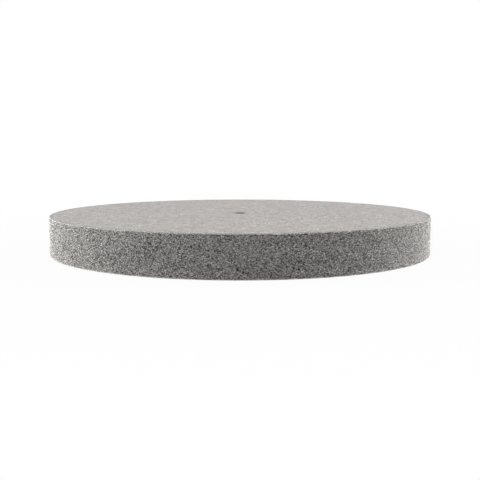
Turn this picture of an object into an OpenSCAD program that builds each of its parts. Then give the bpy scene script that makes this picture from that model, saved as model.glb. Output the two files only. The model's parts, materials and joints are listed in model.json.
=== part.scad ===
// Nylon deburring wheel: a flat round wheel of non-woven nylon web, pressed and
// bonded into one solid piece, with a plain hole that takes the arbor.
// It lies on its lower face, with the origin on the bore's axis at that face.

/* [Wheel] */
// Diameter over the working rim
wheel_d = 250; // [100:5:400]
// Thickness from face to face
wheel_t = 25; // [6:1:60]
// Radius of the softened edges where the rim meets the faces
rim_edge_r = 0.5; // [0.2:0.1:2.5]

/* [Bore] */
// Diameter of the hole that slides over the arbor
bore_d = 8; // [5:0.5:50]
// Radius of the softened mouths of the bore
bore_edge_r = 0.2; // [0.1:0.1:1]

/* [Hidden] */
wheel_r = wheel_d / 2;
bore_r = bore_d / 2;
arc_steps = 48;
turn_steps = 180;

// Bar of the section: it runs from radius r_in to r_out, and stops short of both faces by inset
module section_bar(r_in, r_out, inset) {
    translate([r_in, inset])
        square([r_out - r_in, wheel_t - 2 * inset]);
}

// Pair of rounded corners of the section: one at each face, centred on radius r
module section_corners(r, edge_r) {
    for (height = [edge_r, wheel_t - edge_r])
        translate([r, height])
            circle(r = edge_r, $fn = arc_steps);
}

// Half section of the wheel: straight faces, rim and bore, joined by rounded edges
module wheel_section() {
    section_bar(bore_r, wheel_r - rim_edge_r, bore_edge_r);
    section_bar(bore_r + bore_edge_r, wheel_r - rim_edge_r, 0);
    section_bar(bore_r + bore_edge_r, wheel_r, rim_edge_r);
    section_corners(bore_r + bore_edge_r, bore_edge_r);
    section_corners(wheel_r - rim_edge_r, rim_edge_r);
}

// The whole wheel, with the web bonded through from face to face and from rim to bore
module wheel() {
    color("#8f8d8a")
        rotate_extrude($fn = turn_steps)
            wheel_section();
}

wheel();
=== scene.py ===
import json
import math

import bpy
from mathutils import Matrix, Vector


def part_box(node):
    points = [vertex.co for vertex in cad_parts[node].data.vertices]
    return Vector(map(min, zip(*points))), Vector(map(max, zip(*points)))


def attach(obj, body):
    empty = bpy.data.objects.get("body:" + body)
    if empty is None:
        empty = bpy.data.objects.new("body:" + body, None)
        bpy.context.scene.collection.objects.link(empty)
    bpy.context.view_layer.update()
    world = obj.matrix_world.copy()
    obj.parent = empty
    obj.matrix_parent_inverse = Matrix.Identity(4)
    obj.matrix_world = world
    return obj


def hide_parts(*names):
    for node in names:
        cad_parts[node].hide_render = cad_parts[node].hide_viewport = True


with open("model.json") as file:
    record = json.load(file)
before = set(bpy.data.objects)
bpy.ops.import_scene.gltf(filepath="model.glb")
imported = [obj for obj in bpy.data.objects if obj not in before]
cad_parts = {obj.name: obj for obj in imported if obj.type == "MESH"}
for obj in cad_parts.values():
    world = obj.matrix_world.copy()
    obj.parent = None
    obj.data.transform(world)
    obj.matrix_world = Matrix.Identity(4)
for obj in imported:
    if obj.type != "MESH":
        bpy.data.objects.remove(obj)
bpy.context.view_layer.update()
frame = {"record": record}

# Bonded pad
# The wheel is one pad of crimped nylon fibre, pressed flat, bonded through with resin and cut round.
# This piece is the dense web of the pad itself, without the fibres that lie on its skin. It is turned
# about the bore's axis, and it is pitted where the web is cut open, on the rim and in the bore.

MM = 0.001
low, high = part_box("wheel")
WHEEL_RADIUS = (high[0] - low[0]) / 2
WHEEL_THICKNESS = high[2] - low[2]
bore = next(mount for mount in frame["record"]["mounts"] if mount["name"] == "bore")
BORE_RADIUS = bore["dims"]["r_mm"] * MM
BORE_EDGE = (WHEEL_THICKNESS - bore["dims"]["length_mm"] * MM) / 2
RIM_EDGE = 0.5 * MM
# Near-black painted shade for the hollows of the web: its pits, its pores and the bore
PAINTED_HOLLOW_SHADE = "#1b1918"

# The pad lies just inside the wheel's outline, and the fibres on its skin fill the rest
PAD_RIM_INSET = 0.2 * MM
PAD_FACE_INSET = 0.1 * MM
PIT_DEPTH = 0.9 * MM


def pick(sockets, key):
    """Finds a socket by its place or its name. Of sockets that share a name, it is the one in use."""
    if isinstance(key, int):
        return sockets[key]
    return next(socket for socket in sockets if socket.name == key and socket.enabled)


def add(tree, kind, inputs=None, out=None, **settings):
    """Adds a node with its settings, gives each input a value or a link, and returns one output."""
    node = tree.nodes.new(kind)
    for name, value in settings.items():
        setattr(node, name, value)
    for key, value in (inputs or {}).items():
        socket = pick(node.inputs, key)
        if isinstance(value, bpy.types.NodeSocket):
            tree.links.new(value, socket)
        else:
            socket.default_value = value
    if out is None:
        return next((socket for socket in node.outputs if socket.enabled), None)
    return pick(node.outputs, out)


def start_tree(name, sizes):
    """Starts a tree for building a mesh. It has a mesh, named sizes and a material as its inputs."""
    tree = bpy.data.node_groups.new(name, "GeometryNodeTree")
    kinds = {float: "NodeSocketFloat", int: "NodeSocketInt"}
    tree.interface.new_socket("Mesh", in_out="OUTPUT", socket_type="NodeSocketGeometry")
    tree.interface.new_socket("Mesh", in_out="INPUT", socket_type="NodeSocketGeometry")
    for label, value in sizes.items():
        socket = tree.interface.new_socket(label, in_out="INPUT", socket_type=kinds[type(value)])
        socket.default_value = value
    tree.interface.new_socket("Material", in_out="INPUT", socket_type="NodeSocketMaterial")
    return tree, tree.nodes.new("NodeGroupInput").outputs


def end_tree(tree, geometry, material, smooth=True):
    """Ends a tree with a plain mesh in its material, smooth all over or where a field says so."""
    mesh = add(tree, "GeometryNodeRealizeInstances", {"Geometry": geometry})
    shaded = add(tree, "GeometryNodeSetShadeSmooth", {"Geometry": mesh, "Shade Smooth": smooth})
    dressed = add(tree, "GeometryNodeSetMaterial", {"Geometry": shaded, "Material": material})
    tree.links.new(dressed, tree.nodes.new("NodeGroupOutput").inputs[0])


def build(name, tree, inputs, base=None):
    """Runs a tree on a base mesh with these inputs, and keeps the result as a plain mesh."""
    piece = bpy.data.objects.new(name, base or bpy.data.meshes.new(name))
    bpy.context.scene.collection.objects.link(piece)
    modifier = piece.modifiers.new(tree.name, "NODES")
    modifier.node_group = tree
    for socket in tree.interface.items_tree:
        if socket.in_out == "INPUT" and socket.name in inputs:
            modifier[socket.identifier] = inputs[socket.name]
    evaluated = piece.evaluated_get(bpy.context.evaluated_depsgraph_get())
    piece.data = bpy.data.meshes.new_from_object(evaluated)
    piece.data.name = name
    piece.modifiers.clear()
    return piece


def section_cuts(tree, size, place, across):
    """Cuts for each stretch of the section: many up the rim, and few along the faces and the bore."""
    next_point = add(tree, "GeometryNodeOffsetPointInCurve", {"Offset": 1}, out="Point Index")
    next_place = add(tree, "GeometryNodeFieldAtIndex", {"Value": place, "Index": next_point},
                     data_type="FLOAT_VECTOR", domain="POINT")
    stretch = add(tree, "ShaderNodeVectorMath", {0: next_place, 1: place}, operation="DISTANCE",
                  out="Value")

    # A stretch that runs more than 1 mm across lies on a face
    next_across = add(tree, "ShaderNodeSeparateXYZ", {0: next_place}, out="X")
    moved = add(tree, "ShaderNodeMath", {0: next_across, 1: across}, operation="SUBTRACT")
    moved_squared = add(tree, "ShaderNodeMath", {0: moved, 1: moved}, operation="MULTIPLY")
    on_face = add(tree, "ShaderNodeMath", {0: moved_squared, 1: MM * MM}, operation="GREATER_THAN")
    in_bore = add(tree, "ShaderNodeMath", {0: across, 1: 0.0}, operation="LESS_THAN")
    coarse = add(tree, "ShaderNodeMath", {0: on_face, 1: in_bore}, operation="MAXIMUM")
    step = add(tree, "ShaderNodeMix", {"Factor": coarse, "A": size["Rim Step"], "B": size["Face Step"]})
    return add(tree, "ShaderNodeMath", {0: stretch, 1: step}, operation="DIVIDE")


def half_section(tree, size, rim):
    """Half section of the pad: a rectangle with rounded corners, moved in so that it ends at the rim."""
    wall = add(tree, "ShaderNodeMath", {0: rim, 1: size["Bore Radius"]}, operation="SUBTRACT")
    height = add(tree, "ShaderNodeMath", {0: size["Face Inset"], 1: -2.0, 2: size["Thickness"]},
                 operation="MULTIPLY_ADD")
    section = add(tree, "GeometryNodeCurvePrimitiveQuadrilateral", {"Width": wall, "Height": height},
                  mode="RECTANGLE")
    place = add(tree, "GeometryNodeInputPosition")
    across = add(tree, "ShaderNodeSeparateXYZ", {0: place}, out="X")
    at_rim = add(tree, "FunctionNodeCompare", {"A": across, "B": 0.0}, operation="GREATER_THAN")
    edge = add(tree, "GeometryNodeSwitch", {"Switch": at_rim, "False": size["Bore Edge"],
                                            "True": size["Rim Edge"]}, input_type="FLOAT")
    rounded = add(tree, "GeometryNodeFilletCurve", {"Curve": section, "Count": 3, "Radius": edge},
                  mode="POLY")
    stepped = add(tree, "GeometryNodeSubdivideCurve",
                  {"Curve": rounded, "Cuts": section_cuts(tree, size, place, across)})
    half_wall = add(tree, "ShaderNodeMath", {0: wall, 1: -0.5}, operation="MULTIPLY")
    inward = add(tree, "ShaderNodeCombineXYZ", {"X": half_wall})
    return add(tree, "GeometryNodeSetPosition", {"Geometry": stepped, "Offset": inward})


def turned_section(tree, size):
    """The section turned about the bore's axis, and raised by half the wheel's thickness."""
    rim = add(tree, "ShaderNodeMath", {0: size["Radius"], 1: size["Rim Inset"]}, operation="SUBTRACT")
    circle = add(tree, "GeometryNodeCurvePrimitiveCircle", {"Resolution": size["Around"], "Radius": rim})
    turned = add(tree, "GeometryNodeCurveToMesh",
                 {"Curve": circle, "Profile Curve": half_section(tree, size, rim)})
    half_thickness = add(tree, "ShaderNodeMath", {0: size["Thickness"], 1: 0.5}, operation="MULTIPLY")
    upward = add(tree, "ShaderNodeCombineXYZ", {"Z": half_thickness})
    return add(tree, "GeometryNodeSetPosition", {"Geometry": turned, "Offset": upward})


def from_axis(tree, place):
    """Distance of a place from the bore's axis."""
    level_place = add(tree, "ShaderNodeVectorMath", {0: place, 1: (1, 1, 0)}, operation="MULTIPLY")
    return add(tree, "ShaderNodeVectorMath", {0: level_place}, operation="LENGTH", out="Value")


def cut_share(tree, size, place, fineness):
    """Share of open web: 1 on the cut rim and bore, 0 on the pressed faces, with a ragged lip between."""
    level = add(tree, "ShaderNodeSeparateXYZ", {0: place}, out="Z")
    from_top = add(tree, "ShaderNodeMath", {0: size["Thickness"], 1: level}, operation="SUBTRACT")
    nearer = add(tree, "ShaderNodeMath", {0: from_top, 1: level}, operation="MINIMUM")
    face_distance = add(tree, "ShaderNodeMath", {0: nearer, 1: size["Face Inset"]}, operation="SUBTRACT")
    half_radius = add(tree, "ShaderNodeMath", {0: size["Radius"], 1: 0.5}, operation="MULTIPLY")
    at_rim = add(tree, "FunctionNodeCompare", {"A": from_axis(tree, place), "B": half_radius},
                 operation="GREATER_THAN")
    lip = add(tree, "GeometryNodeSwitch", {"Switch": at_rim, "False": size["Bore Edge"],
                                           "True": size["Rim Edge"]}, input_type="FLOAT")
    fray = add(tree, "ShaderNodeTexNoise", {"Vector": place, "W": 3.0, "Scale": fineness, "Detail": 1.0},
               noise_dimensions="4D")
    lip_share = add(tree, "ShaderNodeMapRange", {"Value": fray, "From Min": 0.35, "From Max": 0.65,
                                                 "To Min": 0.4, "To Max": 1.2})
    lip_end = add(tree, "ShaderNodeMath", {0: lip, 1: lip_share}, operation="MULTIPLY")
    lip_start = add(tree, "ShaderNodeMath", {0: lip, 1: 0.2}, operation="MULTIPLY")
    return add(tree, "ShaderNodeMapRange", {"Value": face_distance, "From Min": lip_start,
                                            "From Max": lip_end})


def pad_tree():
    """A rounded section, turned about Z, with pits where the web is cut."""
    tree, size = start_tree("turned_pad", {
        "Radius": WHEEL_RADIUS,
        "Thickness": WHEEL_THICKNESS,
        "Rim Edge": RIM_EDGE,
        "Bore Radius": BORE_RADIUS,
        "Bore Edge": BORE_EDGE,
        "Rim Inset": 0.0,
        "Face Inset": 0.0,
        "Rim Step": 0.55 * MM,
        "Face Step": 30.0 * MM,
        "Around": 1440,
        "Pit Depth": 0.0,
        "Pit Size": 0.7 * MM,
    })
    turned = turned_section(tree, size)
    place = add(tree, "GeometryNodeInputPosition")
    outward = add(tree, "GeometryNodeInputNormal", out="Normal")
    fineness = add(tree, "ShaderNodeMath", {0: 1.0, 1: size["Pit Size"]}, operation="DIVIDE")
    cut = cut_share(tree, size, place, fineness)
    lumps = add(tree, "ShaderNodeTexNoise", {"Vector": place, "Scale": fineness, "Detail": 1.0})
    pits = add(tree, "ShaderNodeMapRange", {"Value": lumps, "From Min": 0.6, "From Max": 0.35})
    depth = add(tree, "ShaderNodeMath", {0: pits, 1: cut}, operation="MULTIPLY")
    inward_depth = add(tree, "ShaderNodeMath", {0: size["Pit Depth"], 1: -1.0}, operation="MULTIPLY")
    sinking = add(tree, "ShaderNodeMath", {0: depth, 1: inward_depth}, operation="MULTIPLY")
    sunk = add(tree, "ShaderNodeVectorMath", {0: outward, "Scale": sinking}, operation="SCALE")

    # The material reads how open the web is, and paints shade into the pits by how deep they are
    marked = turned
    for name, value in {"cut": cut, "depth": depth}.items():
        marked = add(tree, "GeometryNodeStoreNamedAttribute",
                     {"Geometry": marked, "Name": name, "Value": value}, data_type="FLOAT", domain="POINT")
    pitted = add(tree, "GeometryNodeSetPosition", {"Geometry": marked, "Offset": sunk})

    # The flat faces stay unsmoothed, so that the rounded edges don't shade them
    facing = add(tree, "ShaderNodeSeparateXYZ", {0: outward}, out="Z")
    slope = add(tree, "ShaderNodeMath", {0: facing}, operation="ABSOLUTE")
    not_level = add(tree, "FunctionNodeCompare", {"A": slope, "B": 0.9999}, operation="LESS_THAN")
    end_tree(tree, pitted, size["Material"], smooth=not_level)
    return tree


# Sizes of the patterns in mm. The real fibres are about 0.1 mm thick, which is too fine to show in the
# render, so the strands are drawn about 0.3 mm thick on the faces, and half that where the web is cut.
PRESSED_SPACING = 1.25
OPEN_SPACING = 0.625
BLOTCH_SIZE = 5.0
GRAIN_SIZE = 1.1
PORE_SIZE = 0.55
FRAYED_START = 3.5
FRAYED_END = 0.5

# Strands come in layers. Each layer draws them where its noise is within this reach of its middle.
STRAND_LAYERS = 3
STRAND_REACH = 0.06


def linear(colour):
    """Turns an sRGB hex colour into the linear colour that a node takes."""
    parts = [int(colour[i:i + 2], 16) / 255 for i in (1, 3, 5)]
    return [p / 12.92 if p <= 0.04045 else ((p + 0.055) / 1.055) ** 2.4 for p in parts] + [1.0]


def nylon_tree(name, roughness):
    """Starts a material for nylon fibre, and returns it, its tree, its shader and its place in mm."""
    material = bpy.data.materials.new(name)
    material.use_nodes = True
    tree = material.node_tree
    shader = tree.nodes["Principled BSDF"]
    shader.inputs["Roughness"].default_value = roughness
    shader.inputs["IOR"].default_value = 1.53
    shader.inputs["Specular IOR Level"].default_value = 0.35
    place = add(tree, "ShaderNodeTexCoord", out="Object")
    in_mm = add(tree, "ShaderNodeMapping", {"Vector": place, "Scale": (1 / MM, 1 / MM, 1 / MM)})
    return material, tree, shader, in_mm


def strands(tree, place, spacing):
    """Draws crossing strands at a spacing: 1 along the middle of each, and 0 between them."""
    tangle = 0.0
    for layer in range(STRAND_LAYERS):
        # Each layer is moved and turned, so that no two are alike
        shift = (31.0 * layer, 17.0, 0)
        turn = (0.7 * layer, 0.4 * layer, 0)
        turned = add(tree, "ShaderNodeMapping", {"Vector": place, "Location": shift, "Rotation": turn})
        noise = add(tree, "ShaderNodeTexNoise", {"Vector": turned, "Scale": 1 / spacing, "Detail": 1.0,
                                                 "Distortion": 0.5})
        off = add(tree, "ShaderNodeMath", {0: noise, 1: 0.5}, operation="SUBTRACT")
        distance = add(tree, "ShaderNodeMath", {0: off}, operation="ABSOLUTE")
        strand = add(tree, "ShaderNodeMapRange", {"Value": distance, "From Min": STRAND_REACH,
                                                  "From Max": 0.0})
        tangle = add(tree, "ShaderNodeMath", {0: tangle, 1: strand}, operation="MAXIMUM")
    return tangle


def blend(tree, factor, low, high):
    """Mixes two colours, each a hex colour or a link."""
    ends = [linear(colour) if isinstance(colour, str) else colour for colour in (low, high)]
    return add(tree, "ShaderNodeMix", {"Factor": factor, "A": ends[0], "B": ends[1]}, data_type="RGBA")


def pressed_skin(tree, place, pressed):
    """Colour of the pressed faces: pale strands over darker gaps, with soft blotches of resin."""
    blotches = add(tree, "ShaderNodeTexNoise", {"Vector": place, "Scale": 1 / BLOTCH_SIZE, "Detail": 3.0})
    clouded = add(tree, "ShaderNodeMapRange", {"Value": blotches, "From Min": 0.3, "From Max": 0.7})
    grain = add(tree, "ShaderNodeTexNoise", {"Vector": place, "Scale": 1 / GRAIN_SIZE, "Detail": 1.0})
    grained = add(tree, "ShaderNodeMapRange", {"Value": grain, "From Min": 0.35, "From Max": 0.65})
    pale = blend(tree, clouded, "#a8a4a1", "#d4d0cd")
    gaps = blend(tree, grained, "#6b6664", "#bfbbb7")
    return blend(tree, pressed, gaps, pale)


def cut_web(tree, place, opened):
    """Colour of the cut rim and bore: strands over gaps, with painted shade in the gaps, pits and pores.
    """
    depth = add(tree, "ShaderNodeAttribute", out="Fac", attribute_name="depth")
    pores = add(tree, "ShaderNodeTexNoise", {"Vector": place, "Scale": 1 / PORE_SIZE, "Detail": 1.0})
    pierced = add(tree, "ShaderNodeMapRange", {"Value": pores, "From Min": 0.47, "From Max": 0.4})
    # Painted shade: gaps between strands are darker grey, and the pits, by their depth, and the pores go
    # near black
    deep = add(tree, "ShaderNodeMath", {0: depth, 1: pierced}, operation="MAXIMUM")
    return blend(tree, deep, blend(tree, opened, "#53504e", "#d0cdc9"), PAINTED_HOLLOW_SHADE)


def frayed_share(tree, place, radius):
    """Share of the skin that has opened up in tufts, over the last few millimetres before the rim."""
    rim = WHEEL_RADIUS / MM
    nearness = add(tree, "ShaderNodeMapRange", {"Value": radius, "From Min": rim - FRAYED_START,
                                                "From Max": rim - FRAYED_END})
    tufts = add(tree, "ShaderNodeTexNoise", {"Vector": place, "Scale": 1 / GRAIN_SIZE, "Detail": 1.0})
    torn = add(tree, "ShaderNodeMapRange", {"Value": tufts, "From Min": 0.35, "From Max": 0.55})
    return add(tree, "ShaderNodeMath", {0: nearness, 1: torn}, operation="MULTIPLY")


def bore_painted_shade(tree, radius, cut):
    """Share of painted shade on the wall of the bore, which darkens the hole."""
    farthest = (BORE_RADIUS + PIT_DEPTH) / MM + 0.1
    in_bore = add(tree, "ShaderNodeMath", {0: radius, 1: farthest}, operation="LESS_THAN")
    bored = add(tree, "ShaderNodeMath", {0: in_bore, 1: cut}, operation="MULTIPLY")
    return add(tree, "ShaderNodeMath", {0: bored, 1: 0.9}, operation="MULTIPLY")


def pad_nylon():
    """Non-woven nylon web: pressed smooth and pale on the faces, and open where it is cut, with painted
    shade in its gaps, pits and pores.
    """
    material, tree, shader, place = nylon_tree("nonwoven_nylon_pad", 0.85)
    cut = add(tree, "ShaderNodeAttribute", out="Fac", attribute_name="cut")
    radius = from_axis(tree, place)
    pressed = strands(tree, place, PRESSED_SPACING)
    opened = strands(tree, place, OPEN_SPACING)
    opened_up = add(tree, "ShaderNodeMath", {0: cut, 1: frayed_share(tree, place, radius)},
                    operation="MAXIMUM")
    webbed = blend(tree, opened_up, pressed_skin(tree, place, pressed), cut_web(tree, place, opened))
    # Painted shade darkens the wall of the bore
    colour = blend(tree, bore_painted_shade(tree, radius, cut), webbed, PAINTED_HOLLOW_SHADE)
    tree.links.new(colour, shader.inputs["Base Color"])
    height = add(tree, "ShaderNodeMix", {"Factor": cut, "A": pressed, "B": opened})
    bump = add(tree, "ShaderNodeBump", {"Strength": 0.7, "Distance": 0.15 * MM, "Height": height})
    tree.links.new(bump, shader.inputs["Normal"])
    return material


turned_pad = pad_tree()
pad = build("bonded_pad", turned_pad, {
    "Rim Inset": PAD_RIM_INSET,
    "Face Inset": PAD_FACE_INSET,
    "Pit Depth": PIT_DEPTH,
    "Material": pad_nylon(),
})
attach(pad, "root")
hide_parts("wheel")

# Fibres of the cut rim
# The rim is cut through the web, so its fibres lie open there as a tangle of short crimped strands.
# They are nylon, stiff with resin, and the gaps between them show the pad, darkened there with painted
# shade. They are drawn about 0.3 mm thick, because the real 0.1 mm is too fine to show in the render.


def fibre_roots(tree, size, outward):
    """Points strewn over the skin where it slopes as wanted, each with a number and a shade of its own."""
    facing = add(tree, "ShaderNodeSeparateXYZ", {0: outward}, out="Z")
    above_least = add(tree, "FunctionNodeCompare", {"A": facing, "B": size["Least Slope"]},
                      operation="GREATER_THAN")
    below_most = add(tree, "FunctionNodeCompare", {"A": facing, "B": size["Most Slope"]},
                     operation="LESS_EQUAL")
    sloped = add(tree, "FunctionNodeBooleanMath", {0: above_least, 1: below_most}, operation="AND")
    roots = add(tree, "GeometryNodeDistributePointsOnFaces",
                {"Mesh": size["Mesh"], "Selection": sloped, "Density": size["Density"],
                 "Seed": size["Seed"]})
    shade = add(tree, "FunctionNodeRandomValue", {"Min": 0.0, "Max": 1.0, "Seed": size["Seed"]})
    tinted = add(tree, "GeometryNodeStoreNamedAttribute",
                 {"Geometry": roots, "Name": "tint", "Value": shade}, data_type="FLOAT", domain="POINT")
    count = add(tree, "GeometryNodeInputIndex")
    numbered = add(tree, "GeometryNodeStoreNamedAttribute",
                   {"Geometry": tinted, "Name": "fibre", "Value": count}, data_type="INT", domain="POINT")
    return numbered, pick(roots.node.outputs, "Normal")


def straight_fibres(tree, size, place, roots, root_normal):
    """A straight fibre on each root, along the skin and turned at random from the way round."""
    half = add(tree, "ShaderNodeMath", {0: size["Length"], 1: 0.5}, operation="MULTIPLY")
    tip = add(tree, "ShaderNodeCombineXYZ", {"X": half})
    tail = add(tree, "ShaderNodeVectorMath", {0: tip, "Scale": -1.0}, operation="SCALE")
    line = add(tree, "GeometryNodeCurvePrimitiveLine", {"Start": tail, "End": tip}, mode="POINTS")
    straight = add(tree, "GeometryNodeResampleCurve", {"Curve": line, "Count": size["Points"]},
                   mode="COUNT")
    round_axis = add(tree, "ShaderNodeVectorMath", {0: (0, 0, 1), 1: place}, operation="CROSS_PRODUCT")
    upright = add(tree, "FunctionNodeAxesToRotation",
                  {"Primary Axis": root_normal, "Secondary Axis": round_axis},
                  primary_axis="Z", secondary_axis="X")
    least_turn = add(tree, "ShaderNodeMath", {0: size["Turn"], 1: -1.0}, operation="MULTIPLY")
    any_way = add(tree, "FunctionNodeRandomValue", {"Min": least_turn, "Max": size["Turn"], "Seed": 7})
    spin = add(tree, "FunctionNodeAxisAngleToRotation", {"Axis": (0, 0, 1), "Angle": any_way})
    turned = add(tree, "FunctionNodeRotateRotation", {"Rotation": upright, "Rotate By": spin},
                 rotation_space="LOCAL")
    scale = add(tree, "FunctionNodeRandomValue", {"Min": 0.6, "Max": 1.3, "Seed": 8})
    strewn = add(tree, "GeometryNodeInstanceOnPoints",
                 {"Points": roots, "Instance": straight, "Rotation": turned, "Scale": scale})
    return add(tree, "GeometryNodeRealizeInstances", {"Geometry": strewn})


def crimped_fibres(tree, size, place, own, fineness, straight):
    """The fibres with their crimp: bends that are each fibre's own."""
    bends = add(tree, "ShaderNodeTexNoise", {"Vector": place, "W": own, "Scale": fineness, "Detail": 1.0},
                out="Color", noise_dimensions="4D")
    centred = add(tree, "ShaderNodeVectorMath", {0: bends, 1: (0.5, 0.5, 0.5)}, operation="SUBTRACT")

    # The noise seldom strays more than a quarter from its middle, so a bend is seldom more than the crimp
    crimp = add(tree, "ShaderNodeMath", {0: size["Crimp"], 1: 4.0}, operation="MULTIPLY")
    bent = add(tree, "ShaderNodeVectorMath", {0: centred, "Scale": crimp}, operation="SCALE")
    return add(tree, "GeometryNodeSetPosition", {"Geometry": straight, "Offset": bent})


def height_on_skin(tree, size, place, own, fineness, to_end):
    """Height of a fibre over the skin: it weaves over and under others, and its ends dive into the web."""
    rank = add(tree, "ShaderNodeTexNoise", {"Vector": place, "W": own, "Scale": fineness, "Detail": 0.0},
               noise_dimensions="4D")
    weave = add(tree, "ShaderNodeMapRange", {"Value": rank, "From Min": 0.25, "From Max": 0.75,
                                             "To Min": -1.0, "To Max": 1.0})
    waved = add(tree, "ShaderNodeMath", {0: weave, 1: size["Weave"], 2: size["Rise"]},
                operation="MULTIPLY_ADD")
    dive = add(tree, "ShaderNodeMath", {0: to_end, 1: size["Dive"]}, operation="MULTIPLY")
    return add(tree, "ShaderNodeMath", {0: waved, 1: dive}, operation="SUBTRACT")


def laid_fibres(tree, size, outward, height, crimped):
    """The fibres laid back on the skin, each point at its height over the nearest place there."""
    nearest = add(tree, "GeometryNodeProximity", {"Geometry": size["Mesh"]}, out="Position",
                  target_element="FACES")
    skin_normal = add(tree, "GeometryNodeSampleNearestSurface", {"Mesh": size["Mesh"], "Value": outward},
                      data_type="FLOAT_VECTOR")
    lifted = add(tree, "ShaderNodeVectorMath", {0: skin_normal, "Scale": height}, operation="SCALE")
    laid_place = add(tree, "ShaderNodeVectorMath", {0: nearest, 1: lifted}, operation="ADD")
    return add(tree, "GeometryNodeSetPosition", {"Geometry": crimped, "Position": laid_place})


def thick_fibres(tree, size, fibre, to_end, laid):
    """The fibres as three-sided tapered strands, which is enough for what is less than a pixel wide."""
    girth = add(tree, "FunctionNodeRandomValue", {"Min": 0.35, "Max": 0.65, "ID": fibre, "Seed": 9})
    scaled = add(tree, "ShaderNodeMath", {0: girth, 1: size["Thickness"]}, operation="MULTIPLY")
    taper = add(tree, "ShaderNodeMapRange", {"Value": to_end, "To Min": 1.0, "To Max": 0.5})
    tapered = add(tree, "ShaderNodeMath", {0: scaled, 1: taper}, operation="MULTIPLY")
    profile = add(tree, "GeometryNodeCurvePrimitiveCircle", {"Resolution": 3, "Radius": 1.0})
    return add(tree, "GeometryNodeCurveToMesh",
               {"Curve": laid, "Profile Curve": profile, "Scale": tapered, "Fill Caps": True})


def web_tree():
    """Crimped fibres, strewn over the skin of a turned pad and laid along it.

    Density is fibres to the square metre. Turn is how far, in radians, a fibre may turn from the way
    round the wheel. A slope is how far the skin faces up: 1 on top, 0 on the rim and -1 below.
    """
    tree, size = start_tree("fibre_web", {
        "Density": 610000.0,
        "Length": 1.0 * MM,
        "Thickness": 0.3 * MM,
        "Points": 3,
        "Turn": 1.0,
        "Crimp": 0.3 * MM,
        "Crimp Pitch": 0.8 * MM,
        "Rise": -0.4 * MM,
        "Weave": 0.2 * MM,
        "Dive": 0.3 * MM,
        "Least Slope": -0.4,
        "Most Slope": 0.4,
        "Seed": 1,
    })
    place = add(tree, "GeometryNodeInputPosition")
    outward = add(tree, "GeometryNodeInputNormal", out="Normal")
    roots, root_normal = fibre_roots(tree, size, outward)
    straight = straight_fibres(tree, size, place, roots, root_normal)

    # Each fibre has noise of its own, and a value that rises from 0 to 1 just before its two ends
    fibre = add(tree, "GeometryNodeInputNamedAttribute", {"Name": "fibre"}, data_type="FLOAT")
    own = add(tree, "ShaderNodeMath", {0: fibre, 1: 0.731}, operation="MULTIPLY")
    fineness = add(tree, "ShaderNodeMath", {0: 1.0, 1: size["Crimp Pitch"]}, operation="DIVIDE")
    along = add(tree, "GeometryNodeSplineParameter", out="Factor")
    from_middle = add(tree, "ShaderNodeMapRange", {"Value": along, "To Min": -1.0, "To Max": 1.0})
    to_end = add(tree, "ShaderNodeMath", {0: from_middle, 1: 6.0}, operation="POWER")

    crimped = crimped_fibres(tree, size, place, own, fineness, straight)
    height = height_on_skin(tree, size, place, own, fineness, to_end)
    laid = laid_fibres(tree, size, outward, height, crimped)
    end_tree(tree, thick_fibres(tree, size, fibre, to_end, laid), size["Material"])
    return tree


# Size of the specks of grit and resin, in mm
GRIT_SIZE = 0.5


def fibre_nylon():
    """Single nylon fibres under a thin coat of resin and grit: matt, each a little lighter or darker."""
    material, tree, shader, place = nylon_tree("crimped_nylon_fibre", 0.7)
    tint = add(tree, "ShaderNodeAttribute", out="Fac", attribute_name="tint")
    base = blend(tree, tint, "#bbb8b5", "#fbf9f7")
    grit = add(tree, "ShaderNodeTexNoise", {"Vector": place, "Scale": 1 / GRIT_SIZE, "Detail": 1.0})
    specks = add(tree, "ShaderNodeMapRange", {"Value": grit, "From Min": 0.48, "From Max": 0.56,
                                              "To Min": 0.0, "To Max": 0.8})
    tree.links.new(blend(tree, specks, base, "#5d5a57"), shader.inputs["Base Color"])
    return material


# The skin that fibres are laid on is the wheel's own outline, in coarser steps than the pad. It stays
# clear of the bore, so that no fibre stands into the hole. It isn't a piece, and is only read.
BORE_CLEARANCE = 0.35 * MM
skin = build("skin", turned_pad, {
    "Bore Radius": BORE_RADIUS + BORE_CLEARANCE,
    "Rim Step": 30 * MM,
    "Face Step": 40 * MM,
    "Around": 720,
}).data
bpy.data.objects.remove(bpy.data.objects["skin"])
web = web_tree()
nylon = fibre_nylon()


def lay_web(name, sizes):
    """Lays one web of fibres on the skin, as a piece of its own."""
    fibres = build(name, web, sizes | {"Material": nylon}, skin)
    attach(fibres, "root")


EDGE_WEB = {
    "Density": 1600000.0,
    "Length": 3.0 * MM,
    "Points": 5,
    "Turn": 0.4,
    "Rise": -0.3 * MM,
    "Weave": 0.1 * MM,
}
RIM_WEBS = {
    "rim_web_deep": {"Rise": -0.5 * MM, "Seed": 1},
    "rim_web_middle": {"Rise": -0.3 * MM, "Seed": 2},
    "rim_web_outer": {"Rise": -0.1 * MM, "Seed": 3},
    "edge_web_top": EDGE_WEB | {"Least Slope": 0.35, "Most Slope": 0.99, "Seed": 6},
    "edge_web_bottom": EDGE_WEB | {"Least Slope": -0.99, "Most Slope": -0.35, "Seed": 7},
}
for name, sizes in RIM_WEBS.items():
    lay_web(name, sizes)

# Fibres pressed into the faces
# Long crimped strands of the same nylon lie flat in the resin of both faces. On top they stand a little
# prouder than below, where the wheel's weight presses them in.

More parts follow.
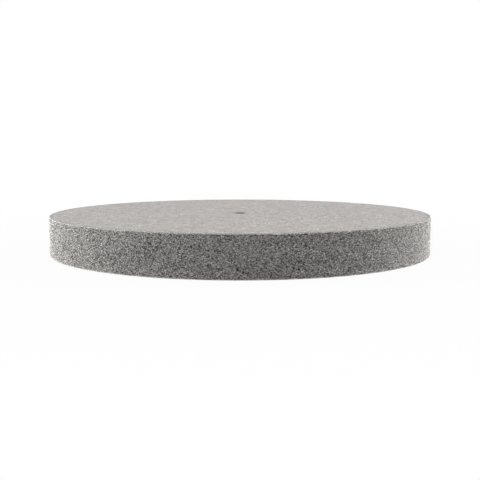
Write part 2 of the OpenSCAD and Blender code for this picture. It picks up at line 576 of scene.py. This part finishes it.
FACE_WEB = {
    "Density": 52000.0,
    "Length": 8.0 * MM,
    "Points": 8,
    "Turn": 1.6,
    "Crimp": 1.3 * MM,
    "Crimp Pitch": 5.0 * MM,
    "Weave": 0.05 * MM,
    "Dive": 0.1 * MM,
}
FACE_WEBS = {
    "face_web_top": FACE_WEB | {"Rise": -0.17 * MM, "Least Slope": 0.75, "Most Slope": 1.1, "Seed": 4},
    "face_web_bottom": FACE_WEB | {"Rise": -0.23 * MM, "Least Slope": -1.1, "Most Slope": -0.75,
                                   "Seed": 5},
}
for name, sizes in FACE_WEBS.items():
    lay_web(name, sizes)

# Studio
# A matt white floor and white surroundings, one soft lamp in front and above, one at each side of the
# wheel, and a camera low in front of it.

FLOOR_SIZE = 6.0
COVERED_RADIUS = 0.97 * WHEEL_RADIUS
WHITENED_RADIUS = 3 * WHEEL_RADIUS
ROOM_LIGHT = 0.4


def white_to_camera(tree, lit, amount):
    """Mixes plain white into a shader, for what the camera sees directly, in gloss or through glass."""
    rays = tree.nodes.new("ShaderNodeLightPath").outputs
    direct_or_gloss = add(tree, "ShaderNodeMath", {0: rays["Is Camera Ray"], 1: rays["Is Glossy Ray"]},
                          operation="MAXIMUM")
    seen = add(tree, "ShaderNodeMath", {0: direct_or_gloss, 1: rays["Is Transmission Ray"]},
               operation="MAXIMUM")
    part = add(tree, "ShaderNodeMath", {0: seen, 1: amount}, operation="MULTIPLY")
    white = add(tree, "ShaderNodeEmission" if lit.node.type != "BACKGROUND" else "ShaderNodeBackground",
                {"Color": (1, 1, 1, 1), "Strength": 1.0})
    return add(tree, "ShaderNodeMixShader", {0: part, 1: lit, 2: white})


def floor_material():
    """Matt white floor. A little real light shows on it near the wheel, and nothing else does under it."""
    material = bpy.data.materials.new("matt_white_floor")
    material.use_nodes = True
    tree = material.node_tree
    tree.nodes.clear()
    lit = add(tree, "ShaderNodeBsdfDiffuse", {"Color": linear("#e0e0e0")})
    place = add(tree, "ShaderNodeTexCoord", out="Object")
    distance = add(tree, "ShaderNodeVectorMath", {0: place}, operation="LENGTH", out="Value")
    amount = add(tree, "ShaderNodeMapRange", {"Value": distance, "From Min": WHEEL_RADIUS,
                                              "From Max": WHITENED_RADIUS, "To Min": 0.94, "To Max": 1.0})
    uncovered = add(tree, "ShaderNodeMath", {0: distance, 1: COVERED_RADIUS}, operation="GREATER_THAN")
    shown = add(tree, "ShaderNodeMath", {0: amount, 1: uncovered}, operation="MULTIPLY")
    shader = white_to_camera(tree, lit, shown)
    add(tree, "ShaderNodeOutputMaterial", {"Surface": shader})
    return material


bpy.ops.mesh.primitive_plane_add(size=FLOOR_SIZE)
floor = bpy.context.object
floor.name = "floor"
floor.data.materials.append(floor_material())

world = bpy.data.worlds.new("studio")
world.use_nodes = True
world.node_tree.nodes.clear()
room_light = add(world.node_tree, "ShaderNodeBackground", {"Color": (1, 1, 1, 1), "Strength": ROOM_LIGHT})
surroundings = white_to_camera(world.node_tree, room_light, 1.0)
add(world.node_tree, "ShaderNodeOutputWorld", {"Surface": surroundings})
bpy.context.scene.world = world


def aim(obj, place, target):
    """Puts a lamp or camera in its place and turns it to its target."""
    obj.location = place
    obj.rotation_euler = (Vector(target) - Vector(place)).to_track_quat("-Z", "Y").to_euler()


# Lamps, in metres and watts
LAMPS = {
    "lamp_above": {"place": (0, -1.1, 1.0), "width": 1.4, "height": 0.8, "energy": 10.0},
    "lamp_left": {"place": (-1.25, 0.18, 0.14), "width": 0.8, "height": 0.24, "energy": 29.0},
    "lamp_right": {"place": (1.2, 0.5, 0.14), "width": 0.8, "height": 0.24, "energy": 32.0},
}
wheel_middle = Vector((0, 0, WHEEL_THICKNESS / 2))
for name, lamp in LAMPS.items():
    light = bpy.data.lights.new(name, "AREA")
    light.shape = "RECTANGLE"
    light.size = lamp["width"]
    light.size_y = lamp["height"]
    light.energy = lamp["energy"]
    lamp_object = bpy.data.objects.new(name, light)
    bpy.context.scene.collection.objects.link(lamp_object)
    aim(lamp_object, lamp["place"], wheel_middle)

# The camera looks at the wheel's middle, and then a little below it
CAMERA_ELEVATION = math.radians(6.294)
CAMERA_DISTANCE = 4.534 * WHEEL_RADIUS
CAMERA_DIP = math.radians(0.591)
PICTURE_PIXELS = 480
FOCAL_PIXELS = 843.5

camera_data = bpy.data.cameras.new("camera")
camera_data.sensor_width = 36.0
camera_data.sensor_fit = "HORIZONTAL"
camera_data.lens = camera_data.sensor_width * FOCAL_PIXELS / PICTURE_PIXELS
camera = bpy.data.objects.new("camera", camera_data)
bpy.context.scene.collection.objects.link(camera)
view_line = Vector((0, -math.cos(CAMERA_ELEVATION), math.sin(CAMERA_ELEVATION)))
aim(camera, wheel_middle + view_line * CAMERA_DISTANCE, wheel_middle)
camera.rotation_euler.x -= CAMERA_DIP
bpy.context.scene.camera = camera
bpy.context.scene.view_settings.view_transform = "Standard"
